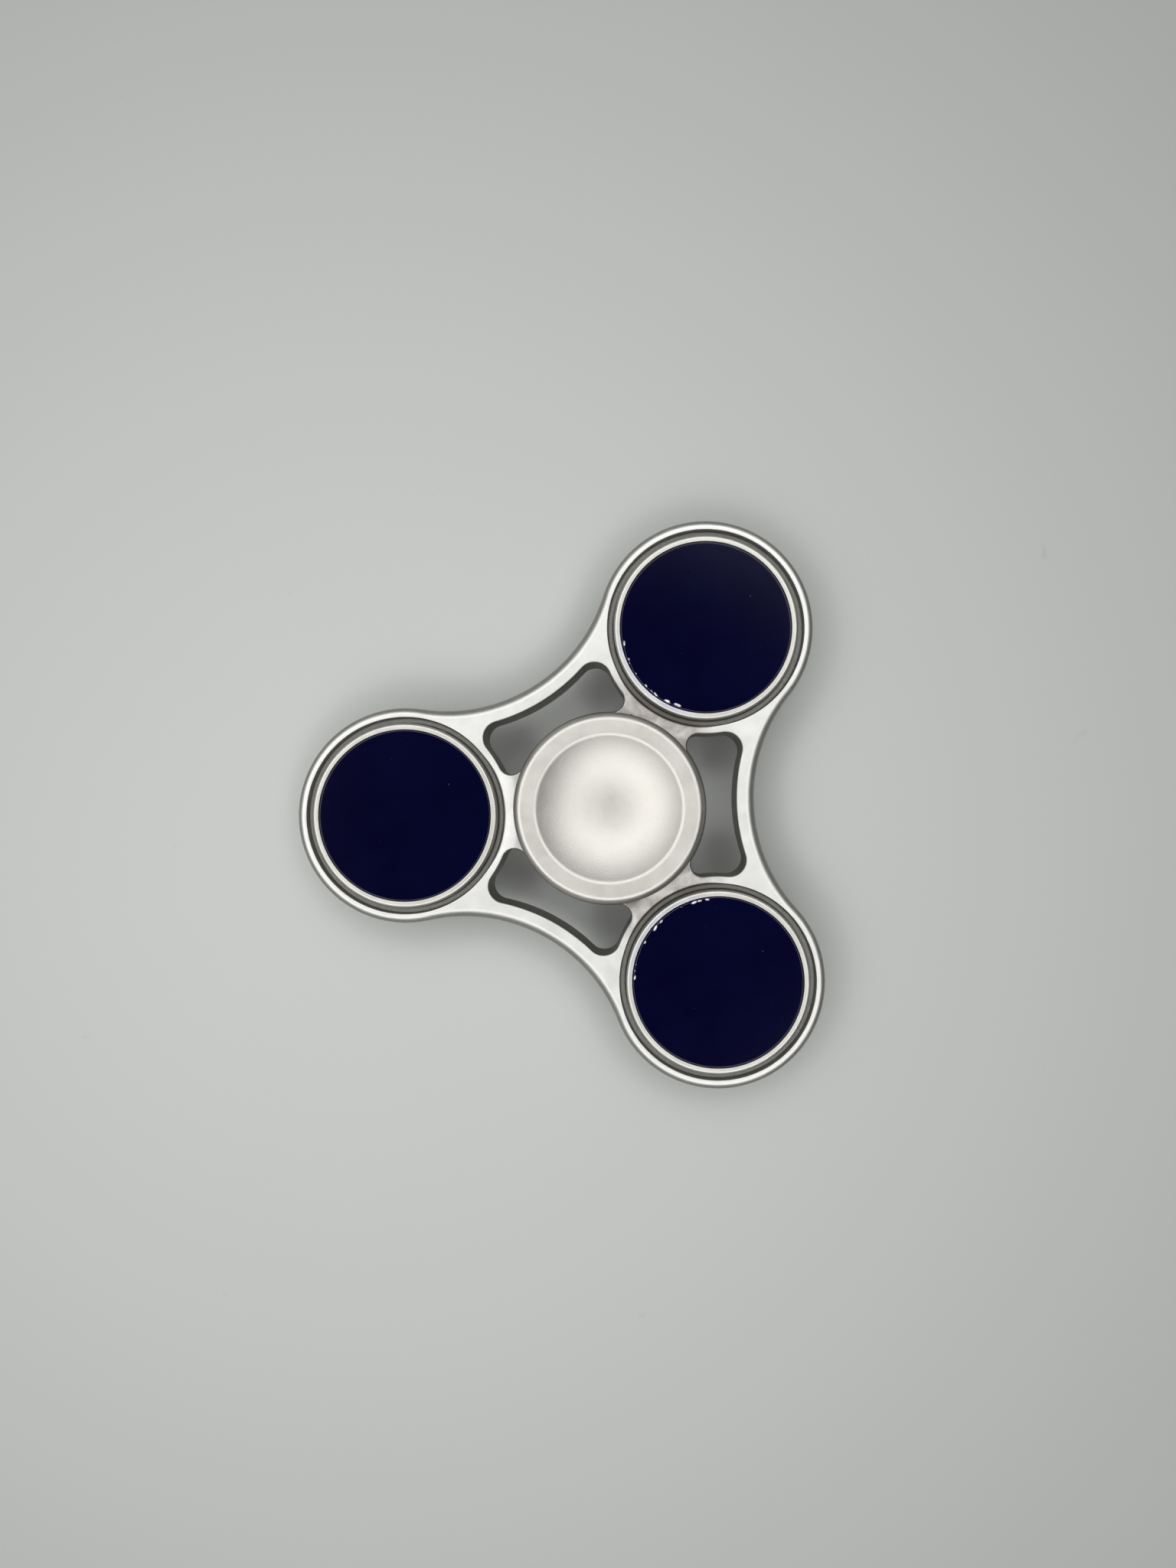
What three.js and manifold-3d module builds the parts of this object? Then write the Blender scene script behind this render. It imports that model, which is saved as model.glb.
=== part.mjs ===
// Three-lobed fidget spinner. Millimetres, +Z along the spin axis, origin on it at half the frame's height.
// The lobes lie at 60, 180 and 300 degrees and the three windows between them at 0, 120 and 240.
import * as THREE from "three";
import { mergeVertices } from "three/addons/utils/BufferGeometryUtils.js";
import Module from "manifold-3d";

const wasm = await Module();
wasm.setup();

// Frame
const LOBE_ANGLES = [60, 180, 300];
const LOBE_DISTANCE = 24.54;
const LOBE_RADIUS = 12.95;
const ARM_EDGE = 17.4; // from the spin axis to the middle of an arm's outer edge
const FRAME_THICKNESS = 6.5;
const FRAME_ROUNDING = 0.75;
const HUB_RADIUS = 11.6;
const HUB_BORE_RADIUS = 6.385;
const WINDOW_EDGE = 15.16; // from the spin axis to the middle of a window's outer side
const WINDOW_LOBE_RADIUS = 12.77;
const WINDOW_INNER_FILLET = 1.3;
const WINDOW_OUTER_FILLET = 1.5;
const POCKET_RADIUS = 11.8;
const POCKET_DEPTH = 1.3;
const SEAT_RADIUS = 11.15;

// Lobe weights and their inlays
const WEIGHT_RADIUS = 11.1;
const WEIGHT_HALF_HEIGHT = 3.7;
const WEIGHT_ROUNDING = 0.42;
const RECESS_RADIUS = 10.27;
const RECESS_DEPTH = 0.85;
const INLAY_RADIUS = 10.22;
const INLAY_GAP = 0.03;
const INLAY_EDGE_HEIGHT = 0.78;
const INLAY_DOME = 0.1;

// Finger caps, which stand clear of the frame
const CAP_RADIUS = 11.37;
const CAP_TOP = 6.25;
const CAP_UNDERSIDE = 3.95;
const CAP_ROUNDING = 0.95;
const CAP_RIM_INNER = 9.1;
const DISH_RADIUS = 8.45;
const DISH_LIP = 0.17;
const DISH_DEPTH = 2.15;
const CAP_BOSS_RADIUS = 4.1;
const CAP_POST_RADIUS = 3.12;
const POST_GAP = 0.05;
const STUD_RADIUS = 1.5;
const STUD_HALF_LENGTH = 3.3;
const STUD_HOLE_RADIUS = 1.56;
const STUD_HOLE_END = 3.5;

// Ball bearing, 6.35 mm bore by 12.7 mm by 4.76 mm
const RACE_HALF_WIDTH = 2.38;
const OUTER_RACE_RADIUS = 6.35;
const OUTER_LAND_RADIUS = 5.27;
const INNER_LAND_RADIUS = 4.25;
const INNER_BORE_RADIUS = 3.175;
const RACE_CHAMFER = 0.2;
const BALL_COUNT = 10;
const BALL_RADIUS = 0.79375;
const BALL_CIRCLE = 4.7625;
const GROOVE_RADIUS = 0.84;
const BALL_PLAY = 0.025;
const CAGE_INNER_RADIUS = 4.45;
const CAGE_OUTER_RADIUS = 5.07;
const CAGE_BOTTOM = -1.5;
const CAGE_TOP = 0.4;
const CAGE_POCKET_RADIUS = 0.86;

const ROUND = 44; // segments round every turned part
const ARC_STEP = 1.7; // length of a straight stretch along the frame's outline
const TURN = Math.PI / 180;

const material = (color, roughness, metalness) =>
  new THREE.MeshStandardMaterial({ color, roughness, metalness });
const SATIN = material("#c9cac6", 0.42, 1);
const POLISHED = material("#d4d4d0", 0.28, 1);
const NAVY = material("#0a0e3c", 0.12, 0);
const STEEL = material("#b9bdc2", 0.18, 1);
const CAGE_STEEL = material("#a89f8c", 0.4, 1);

const spinner = new THREE.Group();

function place(name, geometry, look) {
  const mesh = new THREE.Mesh(geometry, look);
  mesh.name = name;
  spinner.add(mesh);
}

// A body turned about the Z axis from [radius, height] pairs that run up its outside.
function turned(profile) {
  const points = profile.map(([r, z]) => new THREE.Vector2(r, z));
  return new THREE.LatheGeometry(points, ROUND).rotateX(Math.PI / 2);
}

const mirrored = (profile) => profile.map(([r, z]) => [r, -z]).reverse();

// Points of a quarter round or any other arc in a profile, angles in degrees.
function arc(r, z, radius, from, to, steps) {
  const points = [];
  for (let i = 0; i <= steps; i++) {
    const angle = (from + ((to - from) * i) / steps) * TURN;
    points.push([r + radius * Math.cos(angle), z + radius * Math.sin(angle)]);
  }
  return points;
}

// Booleans

function solid(geometry) {
  const bare = geometry.clone();
  bare.deleteAttribute("normal");
  bare.deleteAttribute("uv");
  const merged = mergeVertices(bare, 1e-4);
  return new wasm.Manifold(
    new wasm.Mesh({
      numProp: 3,
      vertProperties: merged.attributes.position.array,
      triVerts: new Uint32Array(merged.index.array),
    }),
  );
}

function geometryOf(body) {
  const mesh = body.getMesh();
  const geometry = new THREE.BufferGeometry();
  geometry.setAttribute("position", new THREE.BufferAttribute(mesh.vertProperties, 3));
  geometry.setIndex(new THREE.BufferAttribute(mesh.triVerts, 1));
  geometry.computeVertexNormals();
  return geometry;
}

function cylinder(radius, bottom, top) {
  const height = top - bottom;
  return new THREE.CylinderGeometry(radius, radius, height, ROUND)
    .rotateX(Math.PI / 2)
    .translate(0, 0, (bottom + top) / 2);
}

// Outlines made of arcs

const polar = (distance, degrees, radius) => ({
  x: distance * Math.cos(degrees * TURN),
  y: distance * Math.sin(degrees * TURN),
  r: radius,
});

// The circle that touches circles a and b from outside, on the given side of the line from a to b.
function fillet(a, b, radius, side) {
  const dx = b.x - a.x;
  const dy = b.y - a.y;
  const d = Math.hypot(dx, dy);
  const along = (d * d + (a.r + radius) ** 2 - (b.r + radius) ** 2) / (2 * d);
  const across = side * Math.sqrt((a.r + radius) ** 2 - along * along);
  return {
    x: a.x + (along * dx - across * dy) / d,
    y: a.y + (along * dy + across * dx) / d,
    r: radius,
  };
}

// A closed outline round circles that each touch the next. Those at odd places curve inwards.
function outline(circles) {
  const points = [];
  circles.forEach((circle, i) => {
    const before = circles.at(i - 1);
    const after = circles[(i + 1) % circles.length];
    const hollow = i % 2 === 1;
    const start = Math.atan2(before.y - circle.y, before.x - circle.x);
    let sweep = Math.atan2(after.y - circle.y, after.x - circle.x) - start;
    while (sweep < 0) sweep += 2 * Math.PI;
    if (hollow) sweep -= 2 * Math.PI;
    const steps = Math.max(3, Math.ceil(Math.abs(sweep * circle.r) / ARC_STEP));
    for (let k = 0; k < steps; k++) {
      const angle = start + (sweep * k) / steps;
      const x = circle.x + circle.r * Math.cos(angle);
      const y = circle.y + circle.r * Math.sin(angle);
      points.push(new THREE.Vector2(x, y));
    }
  });
  return new THREE.Shape(points);
}

const lobe = (degrees, radius) => polar(LOBE_DISTANCE, degrees, radius);

// The arc between two lobes touches both and passes ARM_EDGE from the spin axis.
const ARM_CENTRE =
  (LOBE_DISTANCE ** 2 - (LOBE_RADIUS - ARM_EDGE) ** 2) /
  (LOBE_DISTANCE + 2 * (LOBE_RADIUS - ARM_EDGE));

function frameOutline() {
  const circles = [];
  for (const angle of LOBE_ANGLES) {
    circles.push(lobe(angle, LOBE_RADIUS));
    circles.push(polar(ARM_CENTRE, angle + 60, ARM_CENTRE - ARM_EDGE));
  }
  return outline(circles);
}

// A window lies between the hub, the two lobes beside it and its arm.
function windowOutline(degrees) {
  const hub = { x: 0, y: 0, r: HUB_RADIUS };
  const arm = polar(ARM_CENTRE, degrees, ARM_CENTRE - WINDOW_EDGE);
  const left = lobe(degrees + 60, WINDOW_LOBE_RADIUS);
  const right = lobe(degrees - 60, WINDOW_LOBE_RADIUS);
  return outline([
    fillet(arm, left, WINDOW_OUTER_FILLET, 1),
    left,
    fillet(hub, left, WINDOW_INNER_FILLET, -1),
    hub,
    fillet(hub, right, WINDOW_INNER_FILLET, 1),
    right,
    fillet(arm, right, WINDOW_OUTER_FILLET, -1),
    arm,
  ]);
}

const half = FRAME_THICKNESS / 2;

function frame() {
  let body = solid(
    new THREE.ExtrudeGeometry(frameOutline(), {
      depth: FRAME_THICKNESS - 2 * FRAME_ROUNDING,
      bevelThickness: FRAME_ROUNDING,
      bevelSize: FRAME_ROUNDING,
      bevelOffset: -FRAME_ROUNDING,
      bevelSegments: 2,
    }).translate(0, 0, FRAME_ROUNDING - half),
  );
  const cut = (geometry) => {
    body = body.subtract(solid(geometry));
  };
  cut(cylinder(HUB_BORE_RADIUS, -half - 1, half + 1));
  for (const angle of LOBE_ANGLES) {
    const { x, y } = lobe(angle, 0);
    cut(cylinder(SEAT_RADIUS, -half - 1, half + 1).translate(x, y, 0));
    cut(cylinder(POCKET_RADIUS, half - POCKET_DEPTH, half + 1).translate(x, y, 0));
    cut(cylinder(POCKET_RADIUS, -half - 1, POCKET_DEPTH - half).translate(x, y, 0));
    const opening = new THREE.ExtrudeGeometry(windowOutline(angle - 60), {
      depth: FRAME_THICKNESS + 2,
      bevelEnabled: false,
    });
    cut(opening.translate(0, 0, -half - 1));
  }
  return geometryOf(body);
}

function weight() {
  const floor = WEIGHT_HALF_HEIGHT - RECESS_DEPTH;
  const edge = WEIGHT_HALF_HEIGHT - WEIGHT_ROUNDING;
  const upper = [
    ...arc(WEIGHT_RADIUS - WEIGHT_ROUNDING, edge, WEIGHT_ROUNDING, 0, 90, 2),
    [RECESS_RADIUS, WEIGHT_HALF_HEIGHT],
    [RECESS_RADIUS, floor],
    [0, floor],
  ];
  return turned([...mirrored(upper), ...upper]);
}

function inlay() {
  const floor = WEIGHT_HALF_HEIGHT - RECESS_DEPTH + INLAY_GAP;
  const edge = floor + INLAY_EDGE_HEIGHT;
  return turned([
    [0, floor],
    [INLAY_RADIUS, floor],
    [INLAY_RADIUS, edge],
    [INLAY_RADIUS * 0.8, edge + INLAY_DOME * 0.7],
    [0, edge + INLAY_DOME],
  ]);
}

// The upper cap: a post through the bearing, a boss on its inner race, and a dished face.
function cap() {
  const lip = CAP_TOP - DISH_LIP;
  const bowl = (DISH_RADIUS ** 2 + (DISH_DEPTH - DISH_LIP) ** 2) / (2 * (DISH_DEPTH - DISH_LIP));
  const reach = Math.asin(DISH_RADIUS / bowl) / TURN;
  const dish = arc(0, CAP_TOP - DISH_DEPTH + bowl, bowl, reach - 90, -90, 4);
  dish[0] = [DISH_RADIUS, lip];
  dish[4] = [0, CAP_TOP - DISH_DEPTH];
  return turned([
    [0, STUD_HOLE_END],
    [STUD_HOLE_RADIUS, STUD_HOLE_END],
    [STUD_HOLE_RADIUS, POST_GAP],
    [CAP_POST_RADIUS, POST_GAP],
    [CAP_POST_RADIUS, RACE_HALF_WIDTH + POST_GAP],
    [CAP_BOSS_RADIUS, RACE_HALF_WIDTH + POST_GAP],
    [CAP_BOSS_RADIUS, CAP_UNDERSIDE],
    [CAP_RADIUS - 0.5, CAP_UNDERSIDE],
    [CAP_RADIUS, CAP_UNDERSIDE + 0.5],
    ...arc(CAP_RADIUS - CAP_ROUNDING, CAP_TOP - CAP_ROUNDING, CAP_ROUNDING, 0, 90, 2),
    [CAP_RIM_INNER, CAP_TOP],
    ...dish,
  ]);
}

function stud() {
  const upper = [
    [STUD_RADIUS, STUD_HALF_LENGTH - 0.3],
    [STUD_RADIUS - 0.3, STUD_HALF_LENGTH],
    [0, STUD_HALF_LENGTH],
  ];
  return turned([...mirrored(upper), ...upper]);
}

function outerRace() {
  const centre = BALL_CIRCLE + BALL_RADIUS + BALL_PLAY - GROOVE_RADIUS;
  const reach = Math.acos((OUTER_LAND_RADIUS - centre) / GROOVE_RADIUS) / TURN;
  const rim = [
    [OUTER_RACE_RADIUS, RACE_HALF_WIDTH - RACE_CHAMFER],
    [OUTER_RACE_RADIUS - RACE_CHAMFER, RACE_HALF_WIDTH],
    [OUTER_LAND_RADIUS, RACE_HALF_WIDTH],
  ];
  const loop = [...mirrored(rim), ...rim, ...arc(centre, 0, GROOVE_RADIUS, reach, -reach, 4)];
  return turned([...loop, loop[0]]);
}

function innerRace() {
  const centre = BALL_CIRCLE - BALL_RADIUS - BALL_PLAY + GROOVE_RADIUS;
  const reach = Math.acos((centre - INNER_LAND_RADIUS) / GROOVE_RADIUS) / TURN;
  const rim = [
    [INNER_LAND_RADIUS, RACE_HALF_WIDTH],
    [INNER_BORE_RADIUS + RACE_CHAMFER, RACE_HALF_WIDTH],
    [INNER_BORE_RADIUS, RACE_HALF_WIDTH - RACE_CHAMFER],
  ];
  const groove = arc(centre, 0, GROOVE_RADIUS, 180 + reach, 180 - reach, 4);
  const loop = [...groove, ...rim, ...mirrored(rim)];
  return turned([...loop, loop[0]]);
}

// Ball positions start on +X; the cage is open above each pocket, so that it snaps over the balls.
const ballAngle = (i) => (i * 360) / BALL_COUNT;

function cage() {
  const ring = [
    [CAGE_INNER_RADIUS, CAGE_BOTTOM],
    [CAGE_OUTER_RADIUS, CAGE_BOTTOM],
    [CAGE_OUTER_RADIUS, CAGE_TOP],
    [CAGE_INNER_RADIUS, CAGE_TOP],
    [CAGE_INNER_RADIUS, CAGE_BOTTOM],
  ];
  let body = solid(turned(ring));
  for (let i = 0; i < BALL_COUNT; i++) {
    const pocket = new THREE.CylinderGeometry(CAGE_POCKET_RADIUS, CAGE_POCKET_RADIUS, 2, 16)
      .rotateZ(Math.PI / 2)
      .translate(BALL_CIRCLE, 0, 0)
      .rotateZ(ballAngle(i) * TURN);
    body = body.subtract(solid(pocket));
  }
  return geometryOf(body);
}

place("frame", frame(), SATIN);

LOBE_ANGLES.forEach((angle, i) => {
  const { x, y } = lobe(angle, 0);
  place(`weight_${i + 1}`, weight().translate(x, y, 0), POLISHED);
  place(`inlay_${i + 1}_top`, inlay().translate(x, y, 0), NAVY);
  place(`inlay_${i + 1}_bottom`, inlay().rotateX(Math.PI).translate(x, y, 0), NAVY);
});

place("cap_top", cap(), POLISHED);
place("cap_bottom", cap().rotateX(Math.PI), POLISHED);
place("cap_stud", stud(), STEEL);

place("bearing_outer_race", outerRace(), STEEL);
place("bearing_inner_race", innerRace(), STEEL);
place("bearing_cage", cage(), CAGE_STEEL);
for (let i = 0; i < BALL_COUNT; i++) {
  const { x, y } = polar(BALL_CIRCLE, ballAngle(i), 0);
  const ball = new THREE.SphereGeometry(BALL_RADIUS, 10, 7).rotateX(Math.PI / 2);
  place(`bearing_ball_${String(i + 1).padStart(2, "0")}`, ball.translate(x, y, 0), STEEL);
}

export default spinner;
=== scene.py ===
from math import acos, asin, atan2, ceil, cos, degrees, hypot, pi, radians, sin, sqrt, tan, tau

import bmesh
import bpy
import numpy as np
from mathutils import Matrix, Vector
from mathutils.geometry import delaunay_2d_cdt


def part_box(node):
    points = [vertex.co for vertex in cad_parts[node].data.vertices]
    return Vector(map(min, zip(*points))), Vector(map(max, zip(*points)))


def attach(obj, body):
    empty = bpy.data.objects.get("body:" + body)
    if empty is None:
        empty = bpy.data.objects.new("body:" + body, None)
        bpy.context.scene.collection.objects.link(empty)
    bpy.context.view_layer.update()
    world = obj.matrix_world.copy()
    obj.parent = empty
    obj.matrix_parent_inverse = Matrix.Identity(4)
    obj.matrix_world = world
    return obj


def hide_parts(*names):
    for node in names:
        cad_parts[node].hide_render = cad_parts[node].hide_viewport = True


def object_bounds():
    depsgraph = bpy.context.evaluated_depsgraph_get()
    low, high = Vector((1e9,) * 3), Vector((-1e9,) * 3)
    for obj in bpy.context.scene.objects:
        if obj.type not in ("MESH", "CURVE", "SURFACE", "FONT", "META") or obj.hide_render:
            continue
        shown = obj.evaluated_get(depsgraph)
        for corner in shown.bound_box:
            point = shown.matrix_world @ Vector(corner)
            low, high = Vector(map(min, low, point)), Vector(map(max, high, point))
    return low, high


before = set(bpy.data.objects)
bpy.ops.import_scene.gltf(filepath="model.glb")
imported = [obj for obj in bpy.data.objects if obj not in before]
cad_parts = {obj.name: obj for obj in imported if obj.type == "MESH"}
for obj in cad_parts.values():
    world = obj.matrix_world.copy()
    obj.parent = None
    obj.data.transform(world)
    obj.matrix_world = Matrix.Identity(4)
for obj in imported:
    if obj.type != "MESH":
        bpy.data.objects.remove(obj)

MM = 0.001
cad_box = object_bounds()


# ---------------------------------------------------------------- Sizes taken from the frame, in mm

def box(node):
    """The lowest and highest corners of a CAD node, in millimetres."""
    low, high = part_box(node)
    return low / MM, high / MM


def middle(node):
    low, high = box(node)
    return (low + high) / 2


# Directions of the lobes, in degrees, and how strongly the leaning face towards each of them is stained and
# darkened with painted shade.
LOBE_ANGLES = (60, 180, 300)
SMEAR_AND_SHADE = {60: 1.15, 180: 0.4, 300: 1.15}

LOBE_DISTANCE = -middle("weight_2").x
WEIGHT_RADIUS = (box("weight_2")[1].x - box("weight_2")[0].x) / 2
WEIGHT_TOP = box("weight_2")[1].z
FRAME_TOP = box("frame")[1].z
LOBE_RADIUS = -box("frame")[0].x - LOBE_DISTANCE
CAP_RADIUS = box("cap_top")[1].x
CAP_TOP = box("cap_top")[1].z
STUD_TOP = box("cap_stud")[1].z
RACE_TOP = box("bearing_outer_race")[1].z
OUTER_RACE_RADIUS = box("bearing_outer_race")[1].x
CAGE_BOTTOM, CAGE_TOP = (corner.z for corner in box("bearing_cage"))
CAGE_OUTER = box("bearing_cage")[1].x
INLAY_FLOOR = box("inlay_2_top")[0].z

# ---------------------------------------------------------------- Sizes of the shapes between, in mm

ARM_EDGE = 17.4
ARM_ROUNDING = 1.0
LOBE_ROUNDING = 0.75
HUB_RADIUS = 11.6
HUB_BORE = OUTER_RACE_RADIUS + 0.035
HUB_BORE_ROUNDING = 0.3
WINDOW_EDGE = 15.16
WINDOW_LOBE_RADIUS = LOBE_RADIUS - 0.18
WINDOW_INNER_FILLET = 1.45
WINDOW_OUTER_FILLET = 1.95
WINDOW_ROUNDING = 0.2
POCKET_RADIUS = WEIGHT_RADIUS + 0.7
POCKET_DEPTH = 1.3
POCKET_ROUNDING = 0.11
POCKET_ROUNDING_BY_HUB = 0.33
SEAT_RADIUS = WEIGHT_RADIUS + 0.05
RECESS_RADIUS = WEIGHT_RADIUS - 0.83
RECESS_FLOOR = INLAY_FLOOR - 0.03
CAP_UNDERSIDE = CAP_TOP - 2.3
CAP_ROUNDING = 0.95
CAP_CHAMFER = 0.45
DISH_RADIUS = 8.78
DISH_EDGE_ROUNDING = 1.3
DISH_DEPTH = 2.15
BOSS_RADIUS = 4.1
POST_RADIUS = 3.12
POST_GAP = 0.05
STUD_RADIUS = 1.5
STUD_HOLE_RADIUS = 1.56
STUD_HOLE_END = STUD_TOP + 0.2
OUTER_LAND = 5.27
INNER_LAND = 4.25
INNER_BORE = 3.175
BALL_COUNT = 10
BALL_RADIUS = 0.79375
BALL_CIRCLE = 4.7625
GROOVE_RADIUS = 0.84
BALL_PLAY = 0.025
CAGE_INNER = 4.45
CAGE_POCKET = 0.86
CAGE_DRILL_LENGTH = 2

# The face between the hub and each weight leans towards the weight, and turns steeper on the way.
SLOPE_WIDTH = 1.84
SLOPE_START = tan(radians(6))
SLOPE_GROWTH = 0.034
SLOPE_FULL = 19
SLOPE_END = 40

# How finely shapes are divided, in mm and degrees.
OUTLINE_STEP = 0.35
PROFILE_STEP = 0.3
ROUNDING_STEP = 11
EDGE_SUPPORT = 0.06
TURNED_STEPS = 192
SHARP = radians(32)

# How much painted shade, with a grime texture, darkens each surface, from 0 to 1, and how fast it comes in on
# the rounding above a wall.
WINDOW_SHADE = 0.82
SIDE_SHADE = 0.68
CAP_SIDE_SHADE = 0.52
POCKET_SHADE = 0.3
GROOVE_SHADE = 0.74
HUB_SHADE = 0.3
EDGE_SHADE_RISE = 3.0


def smoothstep(low, high, value):
    t = np.clip((np.asarray(value, float) - low) / (high - low), 0, 1)
    return t * t * (3 - 2 * t)


def bearing_of(x, y):
    return np.degrees(np.arctan2(y, x))


def turn_between(a, b):
    """The angle from b to a, in degrees, from -180 to 180."""
    return (np.asarray(a) - b + 180) % 360 - 180


# ---------------------------------------------------------------- Meshes

class Skin:
    """A surface gathered ring by ring. Each point also says how worn the surface is, how much painted shade
    with grime darkens it, and has an extra mark, which each material reads in its own way."""

    def __init__(self):
        self.points, self.marks, self.faces = [], [], []
        self.count = 0

    def ring(self, x, y, z, wear=0.0, grime_and_shade=0.0, extra=0.0):
        """Adds points and returns their numbers."""
        x = np.atleast_1d(np.asarray(x, float))
        columns = [x] + [np.broadcast_to(np.asarray(v, float), x.shape) for v in (y, z)]
        marks = [np.broadcast_to(np.asarray(v, float), x.shape) for v in (wear, grime_and_shade, extra)]
        self.points.append(np.stack(columns, 1))
        self.marks.append(np.stack(marks, 1))
        numbers = np.arange(self.count, self.count + len(x))
        self.count += len(x)
        return numbers

    def bridge(self, first, second):
        """Joins two closed rings. A ring of one point closes the surface there."""
        if len(first) == 1 or len(second) == 1:
            tip, rim = (first, second) if len(first) == 1 else (second, first)
            around = zip(rim, np.roll(rim, -1))
            self.faces += [(int(tip[0]), int(a), int(b)) for a, b in around]
            return
        corners = (first, np.roll(first, -1), np.roll(second, -1), second)
        self.faces += np.stack(corners, 1).tolist()

    def piece(self, name, look, slot, body, nodes, place=(0, 0, 0), flipped=False):
        """Makes the object, which stands for the given CAD nodes and moves with the body."""
        points = np.concatenate(self.points)
        marks = np.concatenate(self.marks)
        if flipped:
            points = points * (1, -1, -1)
        mesh = bpy.data.meshes.new(name)
        mesh.from_pydata(points * MM, [], self.faces)
        for column, label in enumerate(("wear", "grime_and_shade", "extra")):
            values = mesh.attributes.new(label, "FLOAT", "POINT")
            values.data.foreach_set("value", marks[:, column].astype(np.float32))
        return finished(name, mesh, look, body, nodes, place)


def finished(name, mesh, look, body, nodes, place=(0, 0, 0)):
    """Turns the faces outwards, shades them smooth between sharp edges and sets the piece in the frame."""
    shape = bmesh.new()
    shape.from_mesh(mesh)
    bmesh.ops.recalc_face_normals(shape, faces=shape.faces)
    shape.to_mesh(mesh)
    shape.free()
    mesh.shade_smooth()
    mesh.set_sharp_from_angle(angle=SHARP)
    mesh.materials.append(look)
    piece = bpy.data.objects.new(name, mesh)
    piece.location = Vector(place) * MM
    bpy.context.scene.collection.objects.link(piece)
    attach(piece, body)
    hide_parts(*nodes)
    return piece


# ---------------------------------------------------------------- Turned pieces

def softened(corners, closed, step=PROFILE_STEP):
    """A profile of (radius, height, rounding) corners, anticlockwise round the solid, as rows of
    (radius, height, wear, grime_and_shade). Rounded corners are arcs, worn where they stand out and
    darkened with painted shade and grime where they are hollow, and long stretches are divided."""
    rows = []
    total = len(corners)
    for i, (r, z, rounding) in enumerate(corners):
        if rounding == 0 or (not closed and i in (0, total - 1)):
            rows.append((r, z, 0.0, 0.0))
            continue
        here = np.array((r, z))
        back = np.array(corners[i - 1][:2]) - here
        ahead = np.array(corners[(i + 1) % total][:2]) - here
        back, ahead = back / np.linalg.norm(back), ahead / np.linalg.norm(ahead)
        half = acos(np.clip(np.dot(back, ahead), -1, 1)) / 2
        stands_out = ahead[0] * back[1] - ahead[1] * back[0] > 0
        inward = (back + ahead) / np.linalg.norm(back + ahead)
        centre = here + inward * rounding / sin(half)
        start = here + back * rounding / tan(half) - centre
        sweep = (pi - 2 * half) * (1 if stands_out else -1)
        count = max(2, ceil(degrees(abs(sweep)) / ROUNDING_STEP))
        for k in range(count + 1):
            angle = sweep * k / count
            arm = (start[0] * cos(angle) - start[1] * sin(angle),
                   start[0] * sin(angle) + start[1] * cos(angle))
            # Hollow corners get the painted shade mark, corners that stand out get wear.
            mark = sin(pi * (k + 0.5) / (count + 1))
            rows.append((centre[0] + arm[0], centre[1] + arm[1],
                         mark * stands_out, mark * (not stands_out)))
    return divided(rows, closed, step)


def divided(rows, closed, step):
    """Adds rows along the long stretches of a profile, with one close to each end."""
    out = []
    pairs = zip(rows, rows[1:] + rows[:1] if closed else rows[1:])
    for a, b in pairs:
        out.append(a)
        length = hypot(b[0] - a[0], b[1] - a[1])
        if length < 3 * EDGE_SUPPORT:
            continue
        inner = max(1, ceil((length - 2 * EDGE_SUPPORT) / step))
        for t in np.linspace(EDGE_SUPPORT, length - EDGE_SUPPORT, inner + 1) / length:
            out.append((a[0] + (b[0] - a[0]) * t, a[1] + (b[1] - a[1]) * t, 0.0, 0.0))
    if not closed:
        out.append(rows[-1])
    return out


def turned(rows, closed=False, steps=TURNED_STEPS, extra=None):
    """A body turned about the vertical. extra(angle, radius) gives its third mark."""
    skin = Skin()
    angle = np.arange(steps) * tau / steps
    rings = []
    for r, z, wear, grime_and_shade in rows:
        if r < 1e-6:
            rings.append(skin.ring(0, 0, z, wear, grime_and_shade))
            continue
        mark = extra(np.degrees(angle), r) if extra else 0
        rings.append(skin.ring(r * np.cos(angle), r * np.sin(angle), z, wear, grime_and_shade, mark))
    for a, b in zip(rings, rings[1:]):
        skin.bridge(a, b)
    if closed:
        skin.bridge(rings[-1], rings[0])
    return skin


def both_ends(upper):
    """A profile that is the same below as above, from its upper half."""
    return [(r, -z, rounding) for r, z, rounding in reversed(upper)] + upper


# ---------------------------------------------------------------- The frame

def circle(distance, angle, radius):
    return (distance * cos(radians(angle)), distance * sin(radians(angle)), radius)


def touching(a, b, radius, side):
    """The circle that touches circles a and b from outside, on the given side of the line a to b."""
    dx, dy = b[0] - a[0], b[1] - a[1]
    apart = hypot(dx, dy)
    along = (apart ** 2 + (a[2] + radius) ** 2 - (b[2] + radius) ** 2) / (2 * apart)
    across = side * sqrt((a[2] + radius) ** 2 - along ** 2)
    return (a[0] + (along * dx - across * dy) / apart, a[1] + (along * dy + across * dx) / apart, radius)


def outline(circles, step=OUTLINE_STEP):
    """A closed line round circles that each touch the next, and its outward directions. The circles at
    odd places curve inwards."""
    points, outward = [], []
    for i, (x, y, r) in enumerate(circles):
        before, after = circles[i - 1], circles[(i + 1) % len(circles)]
        hollow = i % 2 == 1
        start = atan2(before[1] - y, before[0] - x)
        sweep = (atan2(after[1] - y, after[0] - x) - start) % tau
        if hollow:
            sweep -= tau
        steps = max(3, ceil(abs(sweep * r) / step))
        for k in range(steps):
            angle = start + sweep * k / steps
            away = (cos(angle), sin(angle))
            points.append((x + r * away[0], y + r * away[1]))
            outward.append((-away[0], -away[1]) if hollow else away)
    return np.array(points), np.array(outward)


ARM_CENTRE = (LOBE_DISTANCE ** 2 - (LOBE_RADIUS - ARM_EDGE) ** 2) / (
    LOBE_DISTANCE + 2 * (LOBE_RADIUS - ARM_EDGE))


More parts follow.
